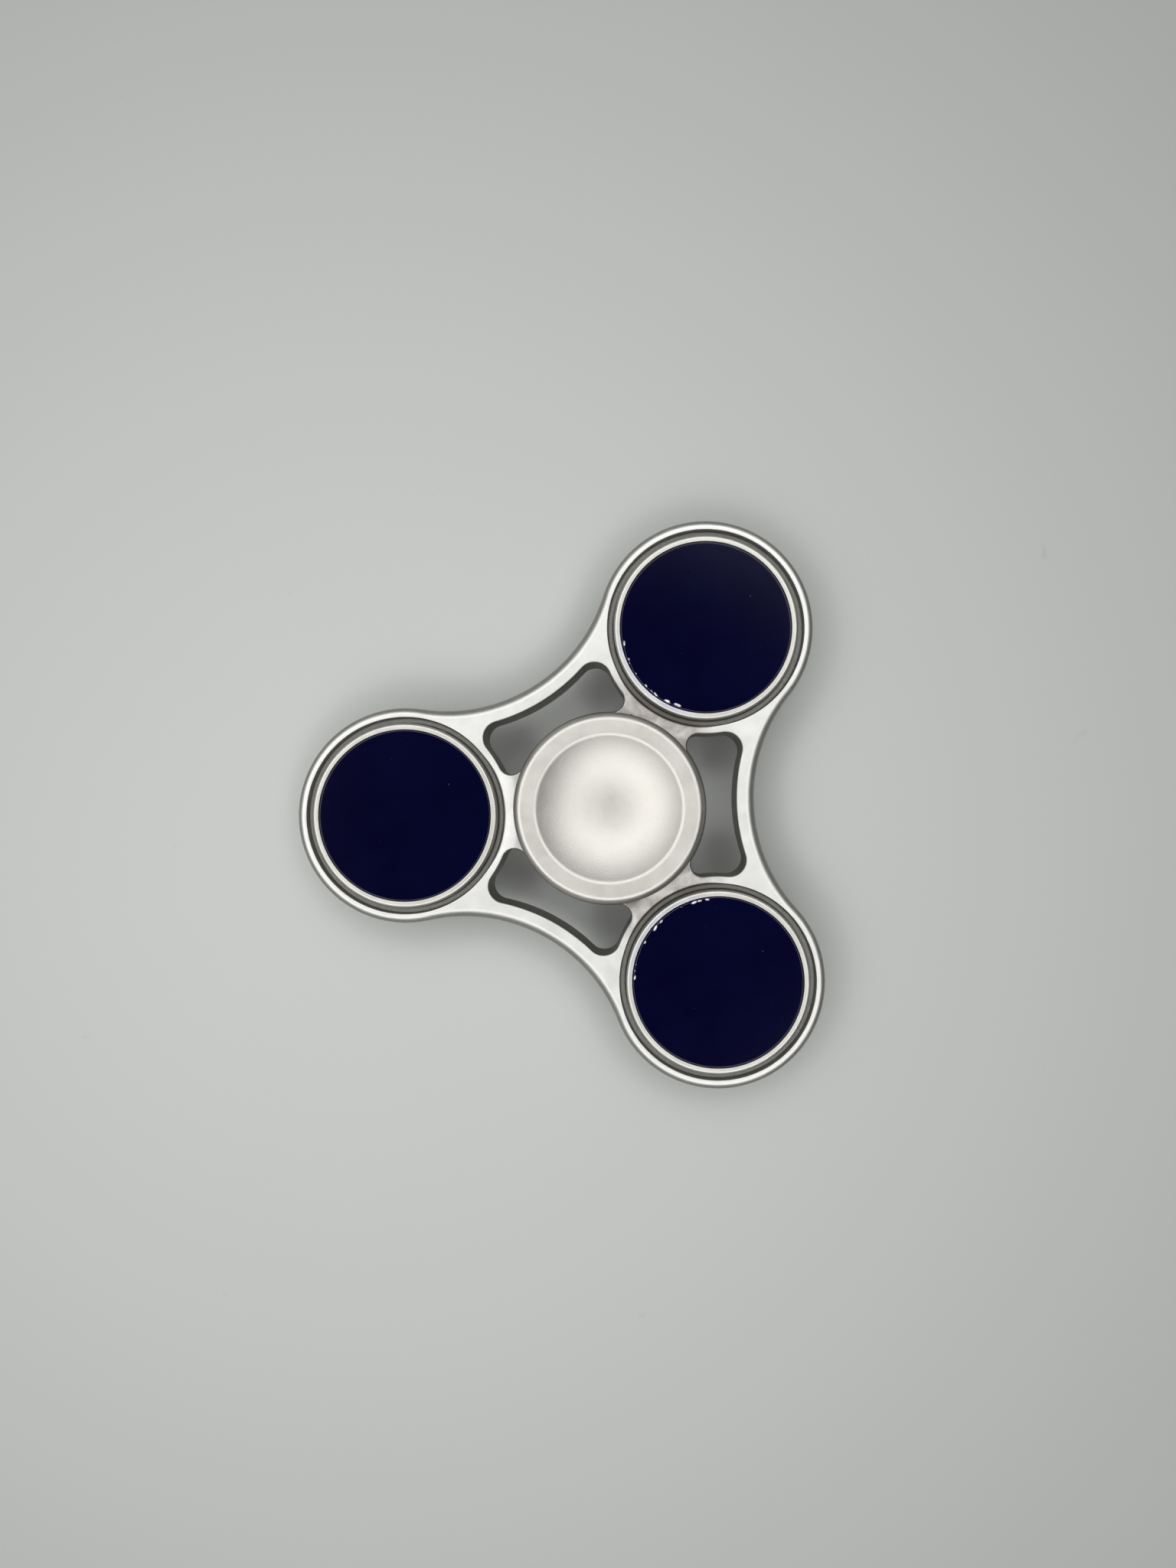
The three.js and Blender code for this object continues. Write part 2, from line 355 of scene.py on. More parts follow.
def frame_outline():
    circles = []
    for angle in LOBE_ANGLES:
        circles.append(circle(LOBE_DISTANCE, angle, LOBE_RADIUS))
        circles.append(circle(ARM_CENTRE, angle + 60, ARM_CENTRE - ARM_EDGE))
    return outline(circles)


def window_outline(angle):
    hub = (0, 0, HUB_RADIUS)
    arm = circle(ARM_CENTRE, angle, ARM_CENTRE - WINDOW_EDGE)
    left = circle(LOBE_DISTANCE, angle + 60, WINDOW_LOBE_RADIUS)
    right = circle(LOBE_DISTANCE, angle - 60, WINDOW_LOBE_RADIUS)
    points, outward = outline([
        touching(arm, left, WINDOW_OUTER_FILLET, 1),
        left,
        touching(hub, left, WINDOW_INNER_FILLET, -1),
        hub,
        touching(hub, right, WINDOW_INNER_FILLET, 1),
        right,
        touching(arm, right, WINDOW_OUTER_FILLET, -1),
        arm,
    ], OUTLINE_STEP / 2)
    return points, -outward


def round_hole(x, y, radius, steps):
    angle = np.arange(steps) * tau / steps
    away = np.stack((np.cos(angle), np.sin(angle)), 1)
    return away * radius + (x, y), -away


def from_pockets(x, y):
    """For each point: how far it is outside the nearest pocket, how it faces the hub, from 0 to 1, and
    how strongly it is stained and darkened with painted shade there."""
    nearest = np.full(np.shape(x), 99.0)
    facing = np.zeros(np.shape(x))
    smear_and_shade = np.zeros(np.shape(x))
    for angle in LOBE_ANGLES:
        cx, cy, _ = circle(LOBE_DISTANCE, angle, 0)
        away = np.hypot(x - cx, y - cy) - POCKET_RADIUS
        turn = np.abs(turn_between(bearing_of(x - cx, y - cy), angle + 180))
        share = 1 - smoothstep(SLOPE_FULL, SLOPE_END, turn)
        closer = away < nearest
        nearest = np.where(closer, away, nearest)
        facing = np.where(closer, share, facing)
        smear_and_shade = np.where(closer, SMEAR_AND_SHADE[angle] * share, smear_and_shade)
    return nearest, facing, smear_and_shade


def face_height(x, y):
    """The height of the frame's upper face, which falls away beside the hub."""
    away, facing, _ = from_pockets(x, y)
    run = np.clip(SLOPE_WIDTH - away, 0, None)
    return FRAME_TOP - facing * (SLOPE_START * run + SLOPE_GROWTH * run ** 2)


def edge_rows(steps):
    """A quarter round over an edge as rows of (share of the rounding outwards, share down, share of the
    way round, wear)."""
    for k in range(steps + 1):
        angle = pi / 2 * k / steps
        yield sin(angle) - 1, 1 - cos(angle), k / steps, sin(pi * (k + 0.5) / (steps + 1))


def frame_wall(skin, points, outward, rounding, steps, below):
    """The wall under one edge line of the frame, the same from below. Returns the rings where the upper
    and lower faces meet it. below has rows of (outwards, height, wear, grime_and_shade) under the rounding."""
    rounding = np.broadcast_to(np.asarray(rounding, float), (len(points),))

    def at(out):
        return (points + outward * np.reshape(out, (-1, 1))).T

    land = at(-rounding - EDGE_SUPPORT)
    top = face_height(*at(-rounding))
    rows = [(land, face_height(*land), 0, 0)]
    for out, down, way, wear in edge_rows(steps):
        # Painted shade comes in on the lower part of the rounding.
        grime_and_shade = below[0][3] * min(1, EDGE_SHADE_RISE * way)
        rows.append((at(out * rounding), top - down * rounding, wear, grime_and_shade))
    rows += [(at(out), height, wear, grime_and_shade) for out, height, wear, grime_and_shade in below]
    smear_and_shade = from_pockets(*land)[2]
    rings = [skin.ring(*xy, z, wear, grime_and_shade, smear_and_shade) for xy, z, wear, grime_and_shade in rows]
    rings += [skin.ring(*xy, -z, wear, grime_and_shade, smear_and_shade) for xy, z, wear, grime_and_shade in reversed(rows)]
    for a, b in zip(rings, rings[1:]):
        skin.bridge(a, b)
    return rings[0], rings[-1]


def inside(polygon, x, y):
    """Whether each point lies within a closed line."""
    x0, y0 = polygon.T
    x1, y1 = np.roll(x0, -1), np.roll(y0, -1)
    px, py = x[:, None], y[:, None]
    rises = (y0 > py) != (y1 > py)
    crossing = (x1 - x0) * (py - y0) / np.where(y1 == y0, 1e-12, y1 - y0) + x0
    return (rises & (px < crossing)).sum(1) % 2 == 1


def slope_points():
    """Points on the leaning faces beside the hub, so that they curve evenly."""
    away = np.arange(0.3, SLOPE_WIDTH + 0.3, 0.2)
    turn = np.radians(np.arange(-SLOPE_END - 2, SLOPE_END + 2.1, 1.25))
    found = []
    for angle in LOBE_ANGLES:
        cx, cy, _ = circle(LOBE_DISTANCE, angle, 0)
        distance, bearing = np.meshgrid(POCKET_RADIUS + away, radians(angle + 180) + turn)
        found.append(np.stack((cx + distance * np.cos(bearing), cy + distance * np.sin(bearing)), 2))
    return np.concatenate(found).reshape(-1, 2)


LEAST_GAP = 0.12


def frame_faces(skin, outer, holes):
    """The upper and lower faces of the frame, between the rings of its walls. outer and each of the
    holes is a pair of rings, upper and lower. Loose points closer to a wall than LEAST_GAP are dropped."""
    points = np.concatenate(skin.points)
    lines = [points[upper][:, :2] for upper, _ in (outer, *holes)]
    fixed = np.concatenate([np.stack(pair, 1) for pair in (outer, *holes)])
    edges, first = [], 0
    for line in lines:
        here = np.arange(first, first + len(line))
        edges += np.stack((here, np.roll(here, -1)), 1).tolist()
        first += len(line)
    loose = slope_points()
    keep = inside(lines[0], *loose.T)
    for line in lines[1:]:
        keep &= ~inside(line, *loose.T)
    loose = loose[keep]
    gaps = np.hypot(*(loose[:, None, :] - np.concatenate(lines)[None]).transpose(2, 0, 1)).min(1)
    loose = loose[gaps > LEAST_GAP]
    smear_and_shade = from_pockets(*loose.T)[2]
    height = face_height(*loose.T)
    extra = np.stack((skin.ring(*loose.T, height, 0, 0, smear_and_shade),
                      skin.ring(*loose.T, -height, 0, 0, smear_and_shade)), 1)
    numbers = np.concatenate((fixed, extra))
    flat = np.concatenate(lines + [loose])
    corners, _, triangles, came_from, _, _ = delaunay_2d_cdt(
        [Vector(p) for p in flat], edges, [], 1, 1e-7, True)
    corners = np.array([tuple(c) for c in corners])
    source = [ids[0] for ids in came_from]
    centres = np.array([corners[list(t)].mean(0) for t in triangles])
    keep = inside(lines[0], *centres.T)
    for line in lines[1:]:
        keep &= ~inside(line, *centres.T)
    for triangle, kept in zip(triangles, keep):
        if kept:
            upper, lower = zip(*(numbers[source[i]] for i in triangle))
            skin.faces.append([int(i) for i in upper])
            skin.faces.append([int(i) for i in reversed(lower)])


def pocket_rows():
    """The wall of a weight's pocket, down to the groove round the weight and on down its seat, as rows
    for frame_wall, darkened more and more with painted shade on the way down."""
    floor = FRAME_TOP - POCKET_DEPTH
    seat = POCKET_RADIUS - SEAT_RADIUS
    return [
        (0, floor + 0.8, 0, POCKET_SHADE), (0, floor + 0.4, 0, POCKET_SHADE), (0, floor + 0.2, 0, 0.5),
        (0.04, floor + 0.1, 0, GROOVE_SHADE), (0.1, floor + 0.04, 0, GROOVE_SHADE),
        (0.22, floor, 0, GROOVE_SHADE), (0.35, floor, 0, GROOVE_SHADE), (seat - 0.06, floor, 0, GROOVE_SHADE),
        (seat - 0.02, floor - 0.02, 0, 1), (seat, floor - 0.06, 0, 1),
        (seat, floor - 0.3, 0, 1), (seat, 0, 0, 1),
    ]


def frame_piece(look):
    skin = Skin()
    points, outward = frame_outline()
    reach = np.hypot(*points.T)
    rounding = ARM_ROUNDING + (LOBE_ROUNDING - ARM_ROUNDING) * smoothstep(20, 28, reach)
    # Painted shade down the outer sides, the window walls and the hub bore.
    side = [(0, height, 0, SIDE_SHADE) for height in (2.2, 1, 0)]
    outer = frame_wall(skin, points, outward, rounding, 7, side)
    holes = []
    side = [(0, height, 0, WINDOW_SHADE) for height in (2.9, 1.5, 0)]
    for angle in LOBE_ANGLES:
        points, outward = window_outline(angle - 60)
        holes.append(frame_wall(skin, points, outward, WINDOW_ROUNDING, 4, side))
    for angle in LOBE_ANGLES:
        cx, cy, _ = circle(LOBE_DISTANCE, angle, 0)
        points, outward = round_hole(cx, cy, POCKET_RADIUS, 240)
        facing = from_pockets(*points.T)[1]
        rounding = POCKET_ROUNDING + (POCKET_ROUNDING_BY_HUB - POCKET_ROUNDING) * facing
        holes.append(frame_wall(skin, points, outward, rounding, 5, pocket_rows()))
    points, outward = round_hole(0, 0, HUB_BORE, 120)
    side = [(0, height, 0, HUB_SHADE) for height in (2.4, 0)]
    holes.append(frame_wall(skin, points, outward, HUB_BORE_ROUNDING, 4, side))
    frame_faces(skin, outer, holes)
    return skin.piece("frame_shell", look, "frame_metal", "spinner", ["frame"])


# ---------------------------------------------------------------- Weights and inlays

INLAY_STEPS = 900
INLAY_GAP = 0.02
INLAY_SUNK = 0.03
INLAY_ROLL = 0.16
INLAY_DOME = 0.03
GLINT_COUNT = 12

# Where the resin's edge is ragged on each lobe: the middle of the stretch and half its width, in degrees.
RAGGED = {1: (222, 48), 2: (0, 0), 3: (135, 50)}
SMOOTH_LOBE = 2


def ragged(lobe, angle):
    centre, width = RAGGED[lobe]
    if width == 0:
        return np.zeros(np.shape(angle))
    return 1 - smoothstep(width * 0.6, width, np.abs(turn_between(angle, centre)))


def weight_piece(index, look):
    upper = [
        (WEIGHT_RADIUS, WEIGHT_TOP, 0.42),
        (RECESS_RADIUS, WEIGHT_TOP, 0.12),
        (RECESS_RADIUS, RECESS_FLOOR, 0.1),
        (0, RECESS_FLOOR, 0),
    ]
    rows = []
    for r, z, wear, grime_and_shade in softened(both_ends(upper), False):
        # The groove round the weight is darkened with painted shade.
        in_groove = r > WEIGHT_RADIUS - 0.02
        rows.append((r, z, wear, max(grime_and_shade, GROOVE_SHADE * in_groove)))

    # A pale bluish film beside the resin along the ragged stretch, partly a painted reflection of the resin's
    # rolled edge.
    def film_and_sheen(angle, r):
        return ragged(index, angle) * smoothstep(RECESS_RADIUS + 0.7, RECESS_RADIUS, r)

    angle = LOBE_ANGLES[index - 1]
    place = circle(LOBE_DISTANCE, angle, 0)
    skin = turned(rows, steps=240, extra=film_and_sheen)
    name = f"weight_{index}"
    return skin.piece(f"{name}_ring", look, "weight_metal", "spinner", [name], (*place[:2], 0))


def wavering(angle, strength, waves, rng):
    """A smooth random wave round a circle, from a few sine waves."""
    total = np.zeros(len(angle))
    for count in waves:
        total += rng.normal() * np.cos(count * angle + rng.uniform(0, tau))
    return strength * total / sqrt(len(waves))


def painted_glints(lobe, angle, radius, rng):
    """How much painted glint lies at each point of a resin face: pale slivers of painted highlight along the
    ragged edge, the small ones fainter."""
    shown = np.zeros(np.shape(angle))
    centre, width = RAGGED[lobe]
    for _ in range(GLINT_COUNT if width else 0):
        at = centre + rng.uniform(-0.9, 0.9) * width
        size = rng.uniform(0, 1) ** 2
        out = RECESS_RADIUS - rng.uniform(0.14, 0.24) - 0.16 * size
        long, wide = 0.13 + 0.4 * size, 0.08 + 0.1 * size
        skew = rng.uniform(-0.25, 0.25)
        along = np.radians(turn_between(angle, at)) * out
        across = radius - out - skew * along
        glint = 1 - smoothstep(0.5, 1.1, np.hypot(along / long, across / wide))
        shown = np.maximum(shown, (0.35 + 0.65 * sqrt(size)) * glint)
    return shown


def inlay_piece(index, side, look, rng):
    """A poured resin disc with a slightly domed face and a rolled edge, ragged along one stretch."""
    skin = Skin()
    angle = np.arange(INLAY_STEPS) * tau / INLAY_STEPS
    turn = np.degrees(angle)
    lobe = index if side == "top" else SMOOTH_LOBE
    rough = ragged(lobe, turn)
    edge = RECESS_RADIUS - INLAY_GAP
    jag = np.abs(wavering(angle, 0.035, range(60, 200, 7), rng)) * rough
    roll = INLAY_ROLL + wavering(angle, 0.01, range(2, 9), rng) + 1.5 * jag
    glint_draws = rng.integers(1 << 30)
    rings = []

    def ring(r, z):
        r = np.broadcast_to(r, angle.shape)
        # Each ring carries the painted glint mark, and the glints stand slightly proud.
        glint = painted_glints(lobe, turn, r, np.random.default_rng(glint_draws))
        rings.append(skin.ring(r * np.cos(angle), r * np.sin(angle), z + 0.02 * glint, 0, 0, glint))

    def height(r):
        return WEIGHT_TOP - INLAY_SUNK + INLAY_DOME * (1 - (r / edge) ** 2)

    rings.append(skin.ring(0, 0, height(0)))
    for r in (1.5, 3, 4.5, 6, 7.2, 8.2, 9, 9.4, *np.arange(9.6, edge - 0.25, 0.07)):
        ring(r, height(r))
    for k in range(7):
        bend = pi / 2 * k / 6
        drop = 0.75 * roll * (1 - cos(bend))
        ring(edge - jag - roll * (1 - sin(bend)), height(edge - INLAY_ROLL) - drop)
    for z in (INLAY_FLOOR + 0.2, INLAY_FLOOR):
        ring(edge - jag, z)
    rings.append(skin.ring(0, 0, INLAY_FLOOR))
    for a, b in zip(rings, rings[1:]):
        skin.bridge(a, b)
    place = circle(LOBE_DISTANCE, LOBE_ANGLES[index - 1], 0)
    node = f"inlay_{index}_{side}"
    return skin.piece(f"{node}_resin", look, "inlay", "spinner", [node], (*place[:2], 0), side == "bottom")


# ---------------------------------------------------------------- Caps and bearing

def dish_profile():
    """The dish from its rounded rim inwards: a fillet that touches the flat rim and the bowl."""
    bowl = (DISH_RADIUS ** 2 + DISH_DEPTH ** 2) / (2 * DISH_DEPTH)
    middle_height = CAP_TOP - DISH_DEPTH + bowl
    edge_height = CAP_TOP - DISH_EDGE_ROUNDING
    apart = bowl + DISH_EDGE_ROUNDING
    edge_out = sqrt(apart ** 2 - (middle_height - edge_height) ** 2)
    reach = asin(edge_out / apart)
    rows = []
    for angle in np.linspace(0, reach, 9):
        r = edge_out - DISH_EDGE_ROUNDING * sin(angle)
        rows.append((r, edge_height + DISH_EDGE_ROUNDING * cos(angle), 0))
    for angle in np.linspace(reach, 0, 33)[1:]:
        rows.append((bowl * sin(angle), middle_height - bowl * cos(angle), 0))
    return rows


def cap_profile():
    corners = [
        (0, STUD_HOLE_END, 0),
        (STUD_HOLE_RADIUS, STUD_HOLE_END, 0.1),
        (STUD_HOLE_RADIUS, POST_GAP, 0.08),
        (POST_RADIUS, POST_GAP, 0.2),
        (POST_RADIUS, RACE_TOP + POST_GAP, 0.12),
        (BOSS_RADIUS, RACE_TOP + POST_GAP, 0.12),
        (BOSS_RADIUS, CAP_UNDERSIDE, 0.25),
        (CAP_RADIUS - CAP_CHAMFER, CAP_UNDERSIDE, 0.1),
        (CAP_RADIUS, CAP_UNDERSIDE + CAP_CHAMFER, 0.1),
        (CAP_RADIUS, CAP_TOP, CAP_ROUNDING),
    ]
    rows = []
    for r, z, wear, grime_and_shade in softened(corners + dish_profile(), False):
        # The cap's side is darkened with painted shade, and its wear is taken off.
        side = smoothstep(CAP_RADIUS - 0.4, CAP_RADIUS, r)
        rows.append((r, z, wear * (1 - side), max(grime_and_shade, CAP_SIDE_SHADE * side)))
    return rows


def cap_piece(side, look):
    name = f"cap_{side}"
    skin = turned(cap_profile(), steps=256)
    return skin.piece(f"{name}_turned", look, "cap_metal", "caps", [name], flipped=side == "bottom")


def stud_piece(look):
    upper = [(STUD_RADIUS, STUD_TOP, 0.3), (0, STUD_TOP, 0)]
    skin = turned(softened(both_ends(upper), False), steps=64)
    return skin.piece("cap_stud_pin", look, "bearing_steel", "caps", ["cap_stud"])


def race_piece(which, look):
    """A bearing race: a ring with a groove for the balls, which are nested in a slightly wider arc."""
    outer = which == "outer"
    side = 1 if outer else -1
    land = OUTER_LAND if outer else INNER_LAND
    back = OUTER_RACE_RADIUS if outer else INNER_BORE
    centre = BALL_CIRCLE + side * (BALL_RADIUS + BALL_PLAY - GROOVE_RADIUS)
    reach = acos(side * (land - centre) / GROOVE_RADIUS)
    groove = []
    for t in np.linspace(1, -1, 17):
        angle = reach * t
        groove.append((centre + side * GROOVE_RADIUS * cos(angle), GROOVE_RADIUS * sin(angle), 0))
    rim = [(back, -RACE_TOP, 0.2), (back, RACE_TOP, 0.2), (land, RACE_TOP, 0.08)]
    corners = rim + groove + [(land, -RACE_TOP, 0.08)]
    if not outer:
        corners.reverse()
    skin = turned(softened(corners, True), closed=True, steps=160)
    name = f"bearing_{which}_race"
    body = "spinner" if outer else "caps"
    return skin.piece(f"{name}_ring", look, "bearing_steel", body, [name])


def cage_piece(look):
    """A crown cage: a ring with a round pocket for each ball, open at the top so that it snaps on."""
    corners = [
        (CAGE_INNER, CAGE_BOTTOM, 0.08), (CAGE_OUTER, CAGE_BOTTOM, 0.08),
        (CAGE_OUTER, CAGE_TOP, 0.06), (CAGE_INNER, CAGE_TOP, 0.06),
    ]
    skin = turned(softened(corners, True, 0.2), closed=True, steps=240)
    cage = skin.piece("bearing_cage_crown", look, "cage_steel", "cage", ["bearing_cage"])
    drills = bmesh.new()
    for i in range(BALL_COUNT):
        turn = Matrix.Rotation(i * tau / BALL_COUNT, 4, "Z")
        along = turn @ Matrix.Translation((BALL_CIRCLE * MM, 0, 0)) @ Matrix.Rotation(pi / 2, 4, "Y")
        bmesh.ops.create_cone(drills, cap_ends=True, segments=48, radius1=CAGE_POCKET * MM,
                              radius2=CAGE_POCKET * MM, depth=CAGE_DRILL_LENGTH * MM, matrix=along)
    mesh = bpy.data.meshes.new("drills")
    drills.to_mesh(mesh)
    drills.free()
    tool = bpy.data.objects.new("drills", mesh)
    bpy.context.scene.collection.objects.link(tool)
    cut = cage.modifiers.new("pockets", "BOOLEAN")
    cut.object, cut.operation, cut.solver = tool, "DIFFERENCE", "EXACT"
    bpy.context.view_layer.update()
    shown = cage.evaluated_get(bpy.context.evaluated_depsgraph_get())
    cage.data = bpy.data.meshes.new_from_object(shown)
    cage.modifiers.clear()
    bpy.data.objects.remove(tool)
    cage.data.set_sharp_from_angle(angle=SHARP)
    return cage


BALL_ROWS = 24


def ball_piece(number, look):
    rows = []
    for k in range(BALL_ROWS + 1):
        angle = pi * (k / BALL_ROWS - 0.5)
        radius = BALL_RADIUS * cos(angle) if 0 < k < BALL_ROWS else 0
        rows.append((radius, BALL_RADIUS * sin(angle), 0, 0))
    place = circle(BALL_CIRCLE, (number - 1) * 360 / BALL_COUNT, 0)
    name = f"bearing_ball_{number:02d}"
    skin = turned(rows, steps=48)
    body = f"ball_{number:02d}"
    return skin.piece(f"{name}_steel", look, "bearing_steel", body, [name], (*place[:2], 0))


# ---------------------------------------------------------------- Materials

class Nodes:
    """Short ways to add shader nodes and join them."""

    def __init__(self, tree):
        self.tree = tree
        tree.nodes.clear()

    def add(self, kind, inputs=None, **settings):
        node = self.tree.nodes.new(kind)
        for name, value in settings.items():
            setattr(node, name, value)
        for socket, value in (inputs or {}).items():
            if isinstance(value, bpy.types.NodeSocket):
                self.tree.links.new(value, node.inputs[socket])
            else:
                node.inputs[socket].default_value = value
        return node

    def noise(self, where, scale, detail=2.0, roughness=0.5, distortion=0.0):
        inputs = {"Vector": where, "Scale": scale, "Detail": detail, "Roughness": roughness,
                  "Distortion": distortion}
        return self.add("ShaderNodeTexNoise", inputs).outputs[0]

    def spread(self, value, low, high, to_low=0.0, to_high=1.0):
        """Carries low..high to to_low..to_high, held within them."""
        inputs = {"Value": value, "From Min": low, "From Max": high, "To Min": to_low, "To Max": to_high}
        return self.add("ShaderNodeMapRange", inputs).outputs[0]

    def math(self, operation, a, b=0.0):
        return self.add("ShaderNodeMath", {0: a, 1: b}, operation=operation).outputs[0]

    def mix(self, share, a, b):
        inputs = {0: share, 6: a, 7: b}
        return self.add("ShaderNodeMix", inputs, data_type="RGBA").outputs[2]

    def mark(self, name):
        return self.add("ShaderNodeAttribute", attribute_name=name).outputs["Fac"]

    def bump(self, height, distance, normal=None):
        inputs = {"Height": height, "Distance": distance, "Strength": 1.0}
        if normal is not None:
            inputs["Normal"] = normal
        return self.add("ShaderNodeBump", inputs).outputs[0]

    def place(self):
        return self.add("ShaderNodeTexCoord").outputs["Object"]

    def surface(self, **inputs):
        """The shader itself and the output. Names use _ for a space."""
        named = {name.replace("_", " "): value for name, value in inputs.items()}
        shader = self.add("ShaderNodeBsdfPrincipled", named)
        self.add("ShaderNodeOutputMaterial", {"Surface": shader.outputs[0]})


def new_material(name):
    look = bpy.data.materials.new(name)
    look.use_nodes = True
    return look, Nodes(look.node_tree)


def colour(red, green, blue):
    return (red, green, blue, 1.0)


SHADE_TONE = colour(0.10, 0.095, 0.075)
STAIN_AND_SHADE_TONE = colour(0.25, 0.23, 0.21)
PIT_TONE = colour(0.02, 0.018, 0.015)
FILM_AND_SHEEN_TONE = colour(0.50, 0.56, 0.78)


def blasted_metal(name, tone, roughness, grain, turned_lines=0.0, smears_and_shade=0.0, film_and_sheen=0.0):
    """Fine-blasted silver metal: a tight grain, cloudy patches, brighter worn edges, and painted shade with a
    grime texture in corners and recesses.
    grain is the depth of the blasting and turned_lines that of faint lathe rings round the axis, in metres.
    Where a piece has its extra mark, smears_and_shade stains it, darkens it with painted shade and pits it,
    and film_and_sheen covers it with a pale film and a painted sheen."""
    look, n = new_material(name)
    where = n.place()
    clouds = n.noise(where, 420, 4, 0.6)
    fine = n.noise(where, 2600, 3, 0.65)
    shot = n.noise(where, 4600, 2, 0.6)
    sand = n.noise(where, 11000, 2, 0.6)
    wear, grime_and_shade, extra = n.mark("wear"), n.mark("grime_and_shade"), n.mark("extra")

    def shade(share):
        return colour(*(share * v for v in tone))

    base = n.mix(n.spread(clouds, 0.35, 0.65), shade(0.93), shade(1))
    base = n.mix(n.spread(fine, 0.62, 0.75, 0, 0.16), base, shade(0.6))
    edge = n.math("MULTIPLY", wear, n.spread(fine, 0.35, 0.6))
    base = n.mix(n.math("MULTIPLY", edge, 0.3), base, shade(1.02))
    # Painted shade with a grime texture where the grime_and_shade mark is set.
    shade_and_dirt = n.math("MULTIPLY", grime_and_shade, n.spread(fine, 0.3, 0.65, 0.82, 1.0))
    base = n.mix(n.math("MULTIPLY", shade_and_dirt, 0.88), base, SHADE_TONE)
    # Stains mixed with painted shade on the leaning faces beside the hub, and small dark pits.
    if smears_and_shade:
        streaks = n.noise(where, 330, 5, 0.6, 0.3)
        stain_and_shade = n.math("MULTIPLY", extra, n.spread(streaks, 0.34, 0.66, 0.45 * smears_and_shade, smears_and_shade))
        base = n.mix(stain_and_shade, base, STAIN_AND_SHADE_TONE)
        pits = n.math("MULTIPLY", extra, n.spread(n.noise(where, 1500, 1), 0.76, 0.8))
        base = n.mix(pits, base, PIT_TONE)
    # Pale bluish film, partly a painted sheen.
    if film_and_sheen:
        film_and_sheen_share = n.math("MULTIPLY", extra, n.spread(fine, 0.4, 0.7, 0.2, film_and_sheen))
        base = n.mix(film_and_sheen_share, base, FILM_AND_SHEEN_TONE)
    rough = n.spread(clouds, 0.3, 0.7, roughness - 0.03, roughness + 0.03)
    rough = n.math("ADD", rough, n.math("MULTIPLY", shade_and_dirt, 0.2))
    rough = n.math("SUBTRACT", rough, n.math("MULTIPLY", edge, 0.03))
    normal = n.bump(sand, grain)
    normal = n.bump(shot, grain * 2.6, normal)
    if turned_lines:
        flat = n.add("ShaderNodeVectorMath", {0: where, 1: (1, 1, 0)}, operation="MULTIPLY").outputs[0]
        radius = n.add("ShaderNodeVectorMath", {0: flat}, operation="LENGTH").outputs["Value"]
        lines = n.add("ShaderNodeTexNoise", {"W": radius, "Scale": 9000, "Detail": 1.0},
                      noise_dimensions="1D").outputs[0]
        normal = n.bump(lines, turned_lines, normal)
    n.surface(Base_Color=base, Metallic=1.0, Roughness=rough, Normal=normal)
    return look


def navy_resin():
    """Glossy navy resin: nearly black in depth, faint dust and hairlines, painted highlight glints at a
    ragged edge.
    """
    look, n = new_material("navy_resin")
    where = n.place()
    clouds = n.noise(where, 160, 3, 0.5)
    swell = n.noise(where, 90, 2, 0.5)
    fleck = n.noise(where, 2300, 3, 0.6)
    dust = n.noise(where, 3200, 1)
    base = n.mix(n.spread(clouds, 0.3, 0.7), colour(0.0004, 0.0004, 0.0155), colour(0.0007, 0.0008, 0.020))
    specks = n.spread(dust, 0.80, 0.84, 0, 0.35)
    base = n.mix(specks, base, colour(0.10, 0.11, 0.20))
    # Painted glints: near-white colour on slivers along the ragged edge stands in for highlights.
    broken_glints = n.math("MULTIPLY", n.mark("extra"), n.spread(fleck, 0.35, 0.55, 0.55, 1.0))
    painted_glints = n.spread(broken_glints, 0.12, 0.8)
    base = n.mix(painted_glints, base, colour(0.93, 0.94, 0.97))
    rough = n.math("ADD", n.spread(clouds, 0.3, 0.7, 0.05, 0.085), n.math("MULTIPLY", painted_glints, 0.25))
    rough = n.math("ADD", rough, n.math("MULTIPLY", specks, 0.4))
    normal = n.bump(swell, 6e-6)
    normal = n.bump(painted_glints, 2.5e-5, normal)
    n.surface(Base_Color=base, Roughness=rough, Normal=normal, IOR=1.45)
    return look


def bearing_steel():
    """Ground bearing steel under a trace of oil."""
    look, n = new_material("bearing_steel")
    where = n.place()
    clouds = n.noise(where, 700, 4, 0.6)
    fine = n.noise(where, 9000, 2)
    base = n.mix(n.spread(clouds, 0.35, 0.7), colour(0.60, 0.61, 0.63), colour(0.70, 0.71, 0.72))
    # Hollow corners darkened brownish with painted shade and grime.
    base = n.mix(n.math("MULTIPLY", n.mark("grime_and_shade"), 0.6), base, colour(0.20, 0.17, 0.12))
    rough = n.spread(clouds, 0.3, 0.7, 0.12, 0.26)
    n.surface(Base_Color=base, Metallic=1.0, Roughness=rough, Normal=n.bump(fine, 4e-7))
    return look


def pressed_steel():
    """Soft steel strip for the cage, with draw marks up its sides."""
    look, n = new_material("pressed_steel")
    where = n.place()
    drawn = n.add("ShaderNodeMapping", {"Vector": where, "Scale": (9000, 9000, 600)}).outputs[0]
    marks = n.noise(drawn, 1.0, 3, 0.6)
    clouds = n.noise(where, 900, 3)
    base = n.mix(n.spread(clouds, 0.35, 0.65), colour(0.44, 0.42, 0.37), colour(0.58, 0.56, 0.50))
    rough = n.spread(marks, 0.3, 0.7, 0.3, 0.46)
    n.surface(Base_Color=base, Metallic=1.0, Roughness=rough, Normal=n.bump(marks, 1.2e-6))
    return look


